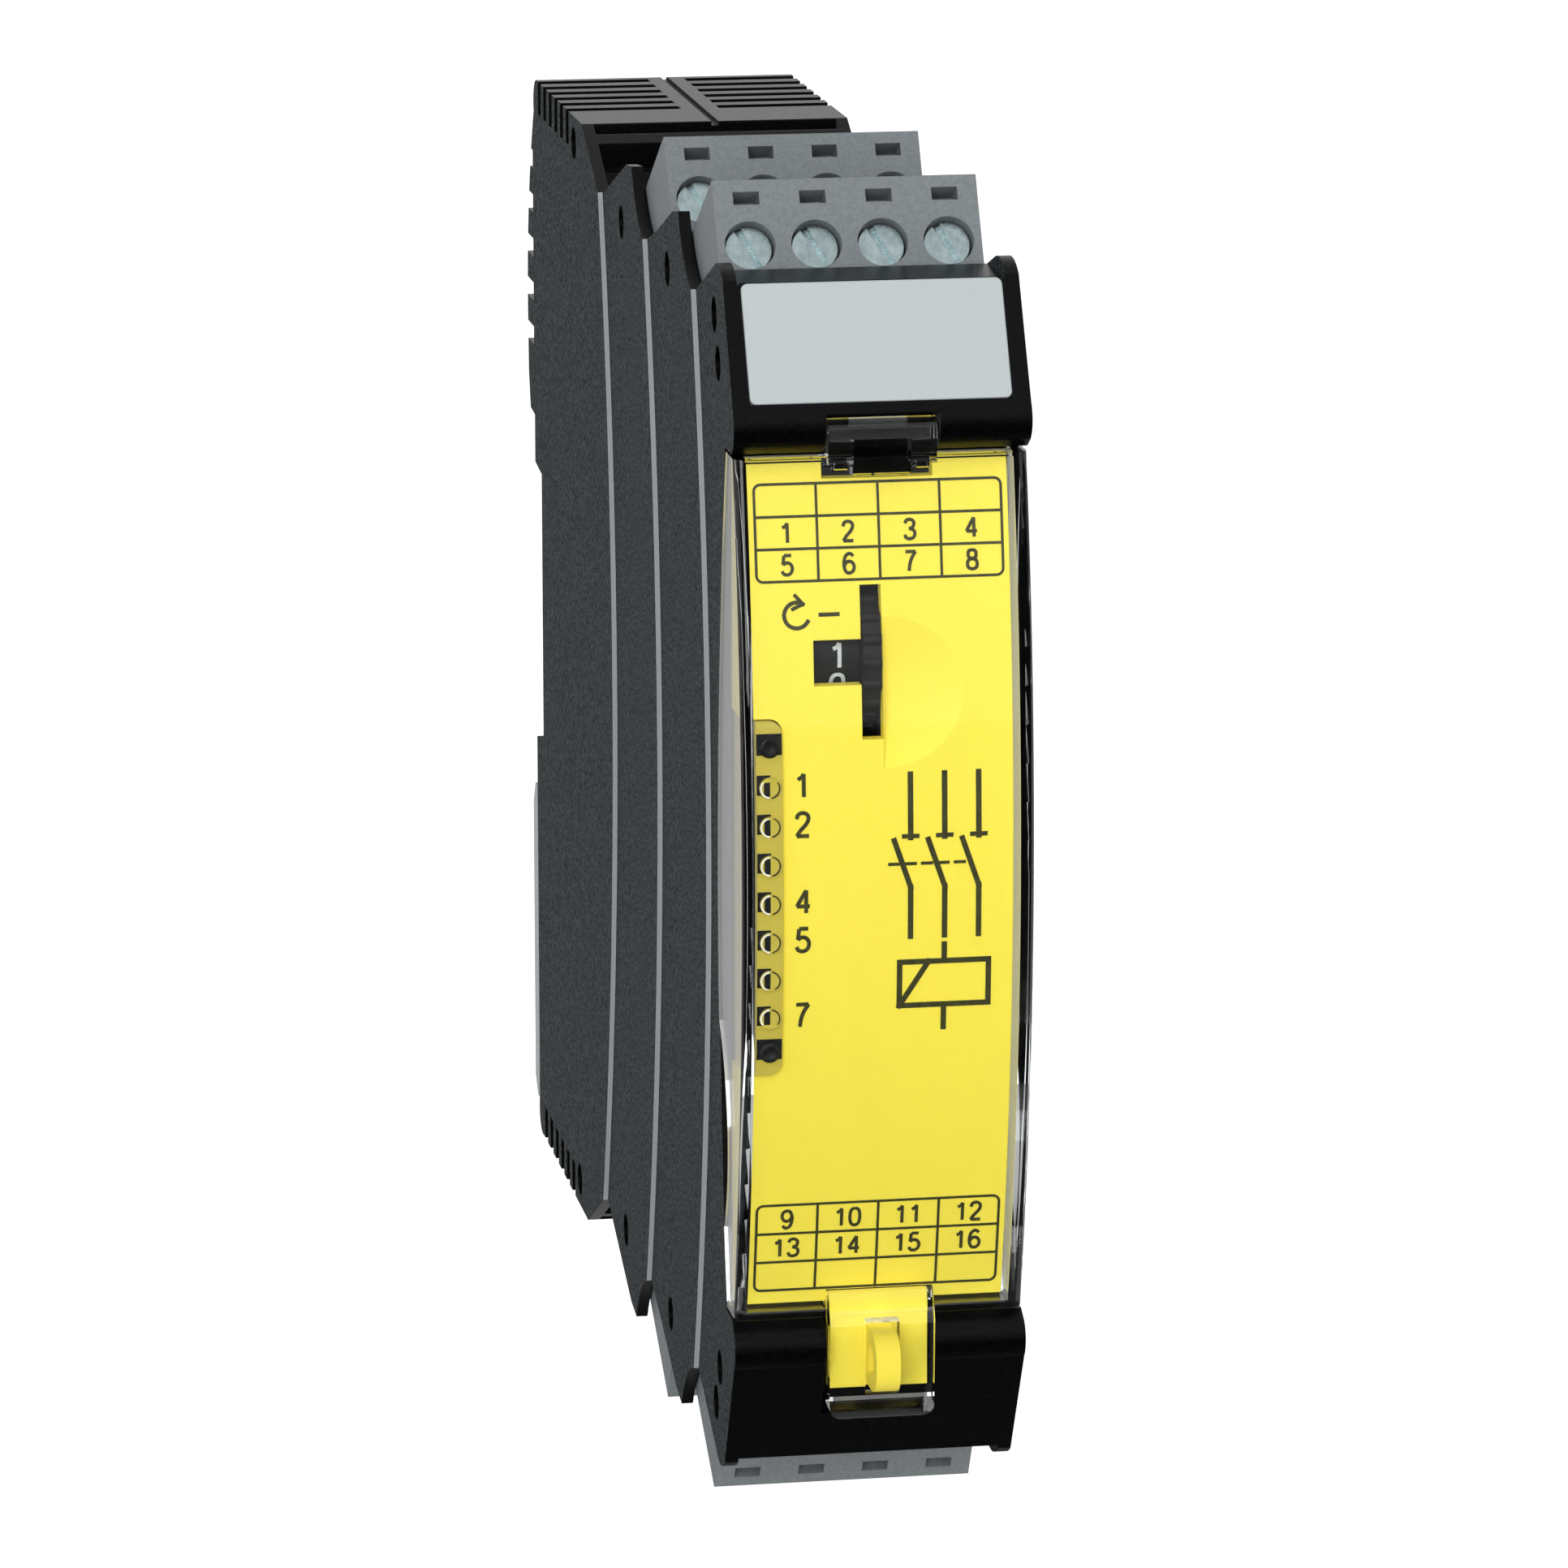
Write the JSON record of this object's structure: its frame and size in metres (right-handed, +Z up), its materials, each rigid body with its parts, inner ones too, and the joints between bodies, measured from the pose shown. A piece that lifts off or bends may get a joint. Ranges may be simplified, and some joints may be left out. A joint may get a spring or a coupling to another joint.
{
  "type": "safety relay",
  "caption": "Narrow rail-mounted safety relay with plug-in screw terminals, yellow front under a hinged clear cover and a sprung rail foot.",
  "frame": {"origin": "middle of the width, on the plane where the housing sits on the mounting rail, level with the rail's middle", "axes": "+X across the width, -Y towards the front, +Z up"},
  "size_m": [0.0226, 0.1162, 0.1034],
  "materials": {
    "black_shell": "matte",
    "yellow_front": "satin",
    "clear_plastic": "gloss",
    "marker_grey": "matte",
    "terminal_grey": "matte",
    "foot_grey": "matte",
    "zinc": "satin",
    "board_green": "satin",
    "relay_case": "gloss",
    "led": "gloss",
    "wheel_white": "satin",
    "header_black": "matte",
    "spring_steel": "satin",
    "can_aluminium": "satin",
    "core_iron": "matte"
  },
  "bodies": {
    "housing": {"housing_left": "black_shell", "housing_right": "black_shell", "front_plate": "yellow_front", "marker_plate": "marker_grey", "light_guide": "clear_plastic", "indicator_leds": "led", "mode_switch": "header_black", "foot_spring": "spring_steel", "main_board": "board_green", "front_board": "board_green", "board_link": "header_black", "relay_1": "relay_case", "relay_2": "relay_case", "relay_3": "relay_case", "transformer": "core_iron", "capacitors": "can_aluminium", "header_top_front": "header_black", "header_top_rear": "header_black", "header_bottom_front": "header_black", "header_bottom_rear": "header_black"},
    "cover": {"clear_cover": "clear_plastic"},
    "wheel": {"mode_wheel": "wheel_white"},
    "foot": {"foot_latch": "foot_grey"},
    "plug_top_front": {"plug_top_front": "terminal_grey"},
    "screw_top_front_1": {"screw_top_front_1": "zinc"},
    "clamp_top_front_1": {"clamp_top_front_1": "zinc"},
    "screw_top_front_2": {"screw_top_front_2": "zinc"},
    "clamp_top_front_2": {"clamp_top_front_2": "zinc"},
    "screw_top_front_3": {"screw_top_front_3": "zinc"},
    "clamp_top_front_3": {"clamp_top_front_3": "zinc"},
    "screw_top_front_4": {"screw_top_front_4": "zinc"},
    "clamp_top_front_4": {"clamp_top_front_4": "zinc"},
    "plug_top_rear": {"plug_top_rear": "terminal_grey"},
    "screw_top_rear_1": {"screw_top_rear_1": "zinc"},
    "clamp_top_rear_1": {"clamp_top_rear_1": "zinc"},
    "screw_top_rear_2": {"screw_top_rear_2": "zinc"},
    "clamp_top_rear_2": {"clamp_top_rear_2": "zinc"},
    "screw_top_rear_3": {"screw_top_rear_3": "zinc"},
    "clamp_top_rear_3": {"clamp_top_rear_3": "zinc"},
    "screw_top_rear_4": {"screw_top_rear_4": "zinc"},
    "clamp_top_rear_4": {"clamp_top_rear_4": "zinc"},
    "plug_bottom_front": {"plug_bottom_front": "terminal_grey"},
    "screw_bottom_front_1": {"screw_bottom_front_1": "zinc"},
    "clamp_bottom_front_1": {"clamp_bottom_front_1": "zinc"},
    "screw_bottom_front_2": {"screw_bottom_front_2": "zinc"},
    "clamp_bottom_front_2": {"clamp_bottom_front_2": "zinc"},
    "screw_bottom_front_3": {"screw_bottom_front_3": "zinc"},
    "clamp_bottom_front_3": {"clamp_bottom_front_3": "zinc"},
    "screw_bottom_front_4": {"screw_bottom_front_4": "zinc"},
    "clamp_bottom_front_4": {"clamp_bottom_front_4": "zinc"},
    "plug_bottom_rear": {"plug_bottom_rear": "terminal_grey"},
    "screw_bottom_rear_1": {"screw_bottom_rear_1": "zinc"},
    "clamp_bottom_rear_1": {"clamp_bottom_rear_1": "zinc"},
    "screw_bottom_rear_2": {"screw_bottom_rear_2": "zinc"},
    "clamp_bottom_rear_2": {"clamp_bottom_rear_2": "zinc"},
    "screw_bottom_rear_3": {"screw_bottom_rear_3": "zinc"},
    "clamp_bottom_rear_3": {"clamp_bottom_rear_3": "zinc"},
    "screw_bottom_rear_4": {"screw_bottom_rear_4": "zinc"},
    "clamp_bottom_rear_4": {"clamp_bottom_rear_4": "zinc"}
  },
  "joints": [
    {"name": "cover_hinge", "type": "hinge", "parent": "housing", "child": "cover", "pos_m": [0, -0.1076, 0.035], "axis": [-1, 0, 0], "range_deg": [0, 100]},
    {"name": "mode_wheel_turn", "type": "hinge", "parent": "housing", "child": "wheel", "pos_m": [0, -0.10302, 0.01765], "axis": [1, 0, 0], "continuous": true},
    {"name": "foot_slide", "type": "slide", "parent": "housing", "child": "foot", "axis": [0, 0, -1], "range_m": [0, 0.003], "stiffness_N_per_m": 800, "springref_m": -0.003},
    {"name": "plug_top_front_pull", "type": "slide", "parent": "housing", "child": "plug_top_front", "axis": [0, 0.5, 0.866], "range_m": [0, 0.012]},
    {"name": "screw_top_front_1_turn", "type": "hinge", "parent": "plug_top_front", "child": "screw_top_front_1", "pos_m": [-0.00762, -0.09272, 0.04611], "axis": [0, 0.866, -0.5], "range_deg": [0, 1728]},
    {"name": "clamp_top_front_1_lift", "type": "slide", "parent": "plug_top_front", "child": "clamp_top_front_1", "axis": [0, -0.866, 0.5], "range_m": [0, 0.0024]},
    {"name": "screw_top_front_2_turn", "type": "hinge", "parent": "plug_top_front", "child": "screw_top_front_2", "pos_m": [-0.00254, -0.09272, 0.04611], "axis": [0, 0.866, -0.5], "range_deg": [0, 1728]},
    {"name": "clamp_top_front_2_lift", "type": "slide", "parent": "plug_top_front", "child": "clamp_top_front_2", "axis": [0, -0.866, 0.5], "range_m": [0, 0.0024]},
    {"name": "screw_top_front_3_turn", "type": "hinge", "parent": "plug_top_front", "child": "screw_top_front_3", "pos_m": [0.00254, -0.09272, 0.04611], "axis": [0, 0.866, -0.5], "range_deg": [0, 1728]},
    {"name": "clamp_top_front_3_lift", "type": "slide", "parent": "plug_top_front", "child": "clamp_top_front_3", "axis": [0, -0.866, 0.5], "range_m": [0, 0.0024]},
    {"name": "screw_top_front_4_turn", "type": "hinge", "parent": "plug_top_front", "child": "screw_top_front_4", "pos_m": [0.00762, -0.09272, 0.04611], "axis": [0, 0.866, -0.5], "range_deg": [0, 1728]},
    {"name": "clamp_top_front_4_lift", "type": "slide", "parent": "plug_top_front", "child": "clamp_top_front_4", "axis": [0, -0.866, 0.5], "range_m": [0, 0.0024]},
    {"name": "plug_top_rear_pull", "type": "slide", "parent": "housing", "child": "plug_top_rear", "axis": [0, 0.5, 0.866], "range_m": [0, 0.012]},
    {"name": "screw_top_rear_1_turn", "type": "hinge", "parent": "plug_top_rear", "child": "screw_top_rear_1", "pos_m": [-0.00762, -0.06902, 0.04611], "axis": [0, 0.866, -0.5], "range_deg": [0, 1728]},
    {"name": "clamp_top_rear_1_lift", "type": "slide", "parent": "plug_top_rear", "child": "clamp_top_rear_1", "axis": [0, -0.866, 0.5], "range_m": [0, 0.0024]},
    {"name": "screw_top_rear_2_turn", "type": "hinge", "parent": "plug_top_rear", "child": "screw_top_rear_2", "pos_m": [-0.00254, -0.06902, 0.04611], "axis": [0, 0.866, -0.5], "range_deg": [0, 1728]},
    {"name": "clamp_top_rear_2_lift", "type": "slide", "parent": "plug_top_rear", "child": "clamp_top_rear_2", "axis": [0, -0.866, 0.5], "range_m": [0, 0.0024]},
    {"name": "screw_top_rear_3_turn", "type": "hinge", "parent": "plug_top_rear", "child": "screw_top_rear_3", "pos_m": [0.00254, -0.06902, 0.04611], "axis": [0, 0.866, -0.5], "range_deg": [0, 1728]},
    {"name": "clamp_top_rear_3_lift", "type": "slide", "parent": "plug_top_rear", "child": "clamp_top_rear_3", "axis": [0, -0.866, 0.5], "range_m": [0, 0.0024]},
    {"name": "screw_top_rear_4_turn", "type": "hinge", "parent": "plug_top_rear", "child": "screw_top_rear_4", "pos_m": [0.00762, -0.06902, 0.04611], "axis": [0, 0.866, -0.5], "range_deg": [0, 1728]},
    {"name": "clamp_top_rear_4_lift", "type": "slide", "parent": "plug_top_rear", "child": "clamp_top_rear_4", "axis": [0, -0.866, 0.5], "range_m": [0, 0.0024]},
    {"name": "plug_bottom_front_pull", "type": "slide", "parent": "housing", "child": "plug_bottom_front", "axis": [0, 0.5, -0.866], "range_m": [0, 0.012]},
    {"name": "screw_bottom_front_1_turn", "type": "hinge", "parent": "plug_bottom_front", "child": "screw_bottom_front_1", "pos_m": [0.00762, -0.09272, -0.04611], "axis": [0, 0.866, 0.5], "range_deg": [0, 1728]},
    {"name": "clamp_bottom_front_1_lift", "type": "slide", "parent": "plug_bottom_front", "child": "clamp_bottom_front_1", "axis": [0, -0.866, -0.5], "range_m": [0, 0.0024]},
    {"name": "screw_bottom_front_2_turn", "type": "hinge", "parent": "plug_bottom_front", "child": "screw_bottom_front_2", "pos_m": [0.00254, -0.09272, -0.04611], "axis": [0, 0.866, 0.5], "range_deg": [0, 1728]},
    {"name": "clamp_bottom_front_2_lift", "type": "slide", "parent": "plug_bottom_front", "child": "clamp_bottom_front_2", "axis": [0, -0.866, -0.5], "range_m": [0, 0.0024]},
    {"name": "screw_bottom_front_3_turn", "type": "hinge", "parent": "plug_bottom_front", "child": "screw_bottom_front_3", "pos_m": [-0.00254, -0.09272, -0.04611], "axis": [0, 0.866, 0.5], "range_deg": [0, 1728]},
    {"name": "clamp_bottom_front_3_lift", "type": "slide", "parent": "plug_bottom_front", "child": "clamp_bottom_front_3", "axis": [0, -0.866, -0.5], "range_m": [0, 0.0024]},
    {"name": "screw_bottom_front_4_turn", "type": "hinge", "parent": "plug_bottom_front", "child": "screw_bottom_front_4", "pos_m": [-0.00762, -0.09272, -0.04611], "axis": [0, 0.866, 0.5], "range_deg": [0, 1728]},
    {"name": "clamp_bottom_front_4_lift", "type": "slide", "parent": "plug_bottom_front", "child": "clamp_bottom_front_4", "axis": [0, -0.866, -0.5], "range_m": [0, 0.0024]},
    {"name": "plug_bottom_rear_pull", "type": "slide", "parent": "housing", "child": "plug_bottom_rear", "axis": [0, 0.5, -0.866], "range_m": [0, 0.012]},
    {"name": "screw_bottom_rear_1_turn", "type": "hinge", "parent": "plug_bottom_rear", "child": "screw_bottom_rear_1", "pos_m": [0.00762, -0.06902, -0.04611], "axis": [0, 0.866, 0.5], "range_deg": [0, 1728]},
    {"name": "clamp_bottom_rear_1_lift", "type": "slide", "parent": "plug_bottom_rear", "child": "clamp_bottom_rear_1", "axis": [0, -0.866, -0.5], "range_m": [0, 0.0024]},
    {"name": "screw_bottom_rear_2_turn", "type": "hinge", "parent": "plug_bottom_rear", "child": "screw_bottom_rear_2", "pos_m": [0.00254, -0.06902, -0.04611], "axis": [0, 0.866, 0.5], "range_deg": [0, 1728]},
    {"name": "clamp_bottom_rear_2_lift", "type": "slide", "parent": "plug_bottom_rear", "child": "clamp_bottom_rear_2", "axis": [0, -0.866, -0.5], "range_m": [0, 0.0024]},
    {"name": "screw_bottom_rear_3_turn", "type": "hinge", "parent": "plug_bottom_rear", "child": "screw_bottom_rear_3", "pos_m": [-0.00254, -0.06902, -0.04611], "axis": [0, 0.866, 0.5], "range_deg": [0, 1728]},
    {"name": "clamp_bottom_rear_3_lift", "type": "slide", "parent": "plug_bottom_rear", "child": "clamp_bottom_rear_3", "axis": [0, -0.866, -0.5], "range_m": [0, 0.0024]},
    {"name": "screw_bottom_rear_4_turn", "type": "hinge", "parent": "plug_bottom_rear", "child": "screw_bottom_rear_4", "pos_m": [-0.00762, -0.06902, -0.04611], "axis": [0, 0.866, 0.5], "range_deg": [0, 1728]},
    {"name": "clamp_bottom_rear_4_lift", "type": "slide", "parent": "plug_bottom_rear", "child": "clamp_bottom_rear_4", "axis": [0, -0.866, -0.5], "range_m": [0, 0.0024]}
  ],
  "couplings": [
    {"joint": "screw_top_front_1_turn", "follows": "clamp_top_front_1_lift", "rad_per_m": 12566},
    {"joint": "screw_top_front_2_turn", "follows": "clamp_top_front_2_lift", "rad_per_m": 12566},
    {"joint": "screw_top_front_3_turn", "follows": "clamp_top_front_3_lift", "rad_per_m": 12566},
    {"joint": "screw_top_front_4_turn", "follows": "clamp_top_front_4_lift", "rad_per_m": 12566},
    {"joint": "screw_top_rear_1_turn", "follows": "clamp_top_rear_1_lift", "rad_per_m": 12566},
    {"joint": "screw_top_rear_2_turn", "follows": "clamp_top_rear_2_lift", "rad_per_m": 12566},
    {"joint": "screw_top_rear_3_turn", "follows": "clamp_top_rear_3_lift", "rad_per_m": 12566},
    {"joint": "screw_top_rear_4_turn", "follows": "clamp_top_rear_4_lift", "rad_per_m": 12566},
    {"joint": "screw_bottom_front_1_turn", "follows": "clamp_bottom_front_1_lift", "rad_per_m": 12566},
    {"joint": "screw_bottom_front_2_turn", "follows": "clamp_bottom_front_2_lift", "rad_per_m": 12566},
    {"joint": "screw_bottom_front_3_turn", "follows": "clamp_bottom_front_3_lift", "rad_per_m": 12566},
    {"joint": "screw_bottom_front_4_turn", "follows": "clamp_bottom_front_4_lift", "rad_per_m": 12566},
    {"joint": "screw_bottom_rear_1_turn", "follows": "clamp_bottom_rear_1_lift", "rad_per_m": 12566},
    {"joint": "screw_bottom_rear_2_turn", "follows": "clamp_bottom_rear_2_lift", "rad_per_m": 12566},
    {"joint": "screw_bottom_rear_3_turn", "follows": "clamp_bottom_rear_3_lift", "rad_per_m": 12566},
    {"joint": "screw_bottom_rear_4_turn", "follows": "clamp_bottom_rear_4_lift", "rad_per_m": 12566}
  ]
}
